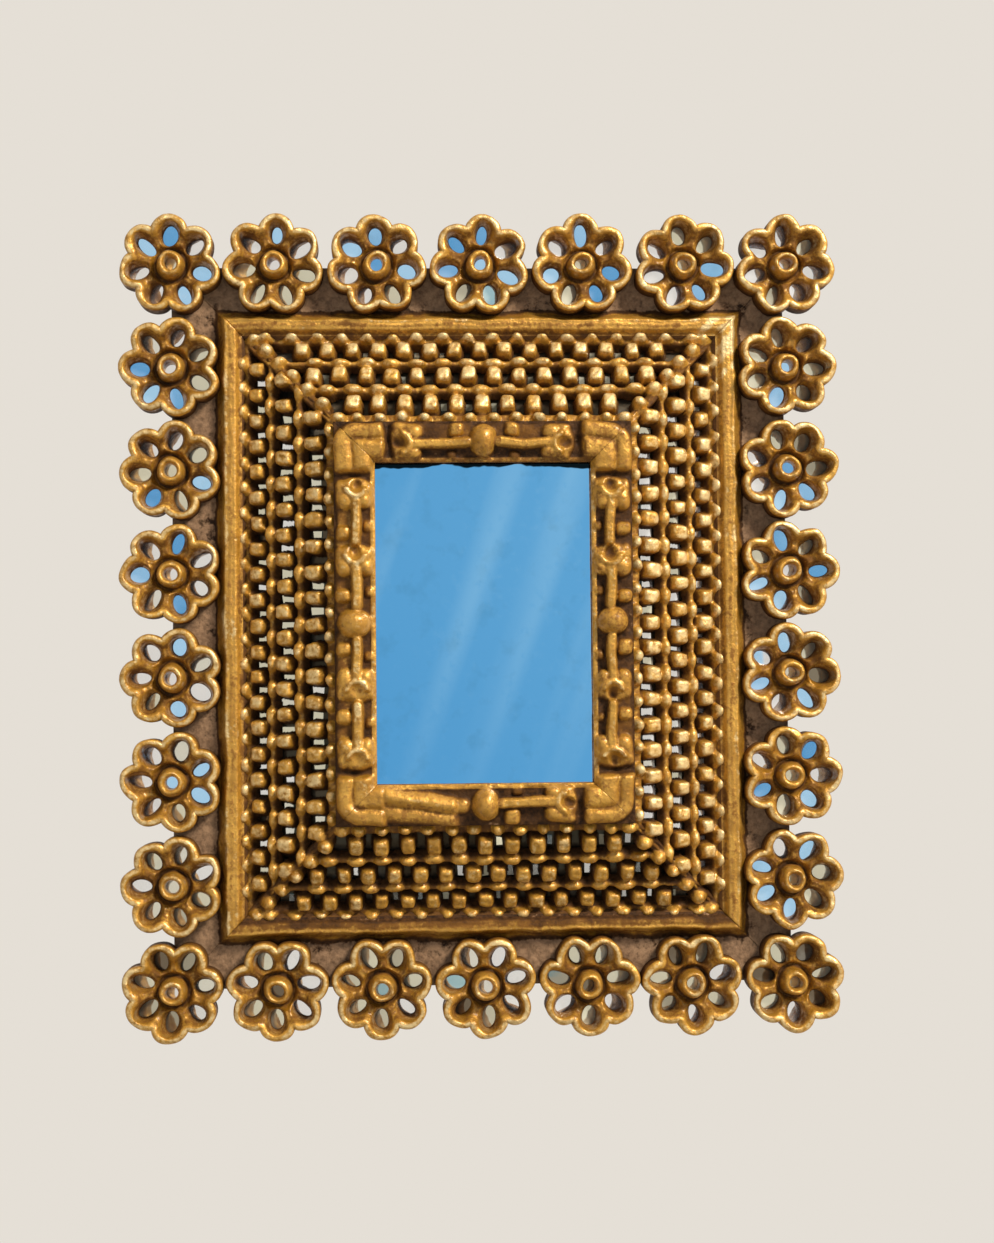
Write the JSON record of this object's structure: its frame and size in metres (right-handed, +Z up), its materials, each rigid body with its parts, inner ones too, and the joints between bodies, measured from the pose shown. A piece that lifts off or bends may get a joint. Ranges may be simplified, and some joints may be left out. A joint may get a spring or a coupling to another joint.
{
  "type": "giltwood wall mirror",
  "caption": "Carved gilt wall mirror: a border of pierced rosettes backed with mirror, sloping pierced lattice panels, a carved sight moulding and an upright looking glass, hung by a ring.",
  "frame": {"origin": "centre of the back panel's back face, where the mirror lies against the wall", "axes": "+Z up, +X to the right as seen from the front, +Y into the wall, so the glass faces -Y"},
  "size_m": [0.3494, 0.0504, 0.3994],
  "materials": {
    "gilt_wood": "gold leaf over brown ground on carved wood, rubbed",
    "silvered_glass": "silvered mirror glass",
    "bare_wood": "unfinished board",
    "plain_steel": "plain bright steel"
  },
  "bodies": {
    "mirror": {"back_panel": "bare_wood", "border_bottom": "gilt_wood", "border_left": "gilt_wood", "border_right": "gilt_wood", "border_top": "gilt_wood", "glass_backing": "bare_wood", "glass_brad_bottom": "plain_steel", "glass_brad_left": "plain_steel", "glass_brad_right": "plain_steel", "glass_brad_top": "plain_steel", "hanger_screw_1": "plain_steel", "hanger_screw_2": "plain_steel", "hanger_strap": "plain_steel", "lattice_bottom": "gilt_wood", "lattice_left": "gilt_wood", "lattice_mirror_bottom": "silvered_glass", "lattice_mirror_left": "silvered_glass", "lattice_mirror_right": "silvered_glass", "lattice_mirror_top": "silvered_glass", "lattice_right": "gilt_wood", "lattice_top": "gilt_wood", "looking_glass": "silvered_glass", "panel_pin_bottom_1": "plain_steel", "panel_pin_left_1": "plain_steel", "panel_pin_left_2": "plain_steel", "panel_pin_right_1": "plain_steel", "panel_pin_right_2": "plain_steel", "panel_pin_top_1": "plain_steel", "rosette_mirror_bottom_1": "silvered_glass", "rosette_mirror_bottom_2": "silvered_glass", "rosette_mirror_bottom_3": "silvered_glass", "rosette_mirror_bottom_4": "silvered_glass", "rosette_mirror_bottom_5": "silvered_glass", "rosette_mirror_bottom_6": "silvered_glass", "rosette_mirror_bottom_7": "silvered_glass", "rosette_mirror_left_1": "silvered_glass", "rosette_mirror_left_2": "silvered_glass", "rosette_mirror_left_3": "silvered_glass", "rosette_mirror_left_4": "silvered_glass", "rosette_mirror_left_5": "silvered_glass", "rosette_mirror_left_6": "silvered_glass", "rosette_mirror_right_1": "silvered_glass", "rosette_mirror_right_2": "silvered_glass", "rosette_mirror_right_3": "silvered_glass", "rosette_mirror_right_4": "silvered_glass", "rosette_mirror_right_5": "silvered_glass", "rosette_mirror_right_6": "silvered_glass", "rosette_mirror_top_1": "silvered_glass", "rosette_mirror_top_2": "silvered_glass", "rosette_mirror_top_3": "silvered_glass", "rosette_mirror_top_4": "silvered_glass", "rosette_mirror_top_5": "silvered_glass", "rosette_mirror_top_6": "silvered_glass", "rosette_mirror_top_7": "silvered_glass", "sight_moulding_bottom": "gilt_wood", "sight_moulding_left": "gilt_wood", "sight_moulding_right": "gilt_wood", "sight_moulding_top": "gilt_wood"},
    "hanger_ring": {"hanger_ring": "plain_steel"}
  },
  "joints": [
    {"name": "hanger_ring_hinge", "type": "hinge", "parent": "mirror", "child": "hanger_ring", "pos_m": [0, -0.0021, 0.1655], "axis": [1, 0, 0], "range_deg": [0, 180]}
  ]
}
